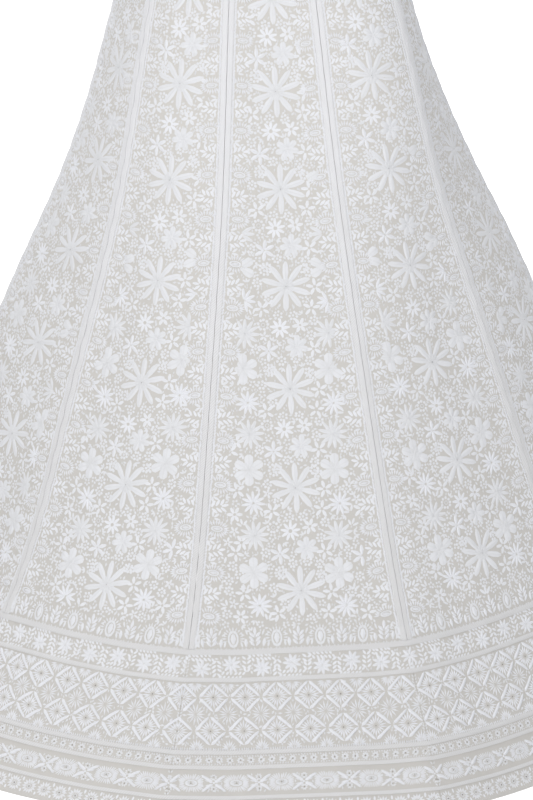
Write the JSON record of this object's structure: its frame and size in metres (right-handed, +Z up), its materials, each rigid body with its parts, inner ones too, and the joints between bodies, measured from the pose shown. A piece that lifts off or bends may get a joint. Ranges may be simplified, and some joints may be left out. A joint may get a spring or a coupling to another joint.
{
  "type": "chikankari lehenga skirt",
  "caption": "Full-length flared lehenga skirt of tapered kalis with edging strips, border tapes and a lapped waistband, held open as if worn.",
  "frame": {"origin": "centre of the waist, level with the seam between the waistband and the kalis", "axes": "+Z up along the wearer's body; -Y is the wearer's front; +X is to the right of someone who looks at the front, which is the wearer's left"},
  "size_m": [1.0453, 0.9519, 1.0206],
  "materials": {
    "georgette": "matte beige-grey georgette under dense white thread embroidery",
    "cream_tape": "matte cream woven tape, stitched down",
    "waistband_cloth": "matte beige-grey doubled cloth"
  },
  "bodies": {
    "root": {"waistband": "waistband_cloth", "kali_01": "georgette", "kali_02": "georgette", "kali_03": "georgette", "kali_04": "georgette", "kali_05": "georgette", "kali_06": "georgette", "kali_07": "georgette", "kali_08": "georgette", "kali_09": "georgette", "kali_10": "georgette", "edging_01_left": "cream_tape", "edging_01_right": "cream_tape", "edging_02_left": "cream_tape", "edging_02_right": "cream_tape", "edging_03_left": "cream_tape", "edging_03_right": "cream_tape", "edging_04_left": "cream_tape", "edging_04_right": "cream_tape", "edging_05_left": "cream_tape", "edging_05_right": "cream_tape", "edging_06_left": "cream_tape", "edging_06_right": "cream_tape", "edging_07_left": "cream_tape", "edging_07_right": "cream_tape", "edging_08_left": "cream_tape", "edging_08_right": "cream_tape", "edging_09_left": "cream_tape", "edging_09_right": "cream_tape", "edging_10_left": "cream_tape", "edging_10_right": "cream_tape", "border_tape_a": "cream_tape", "border_tape_b": "cream_tape", "border_tape_c": "cream_tape", "border_tape_d": "cream_tape", "border_tape_e": "cream_tape"}
  },
  "joints": []
}
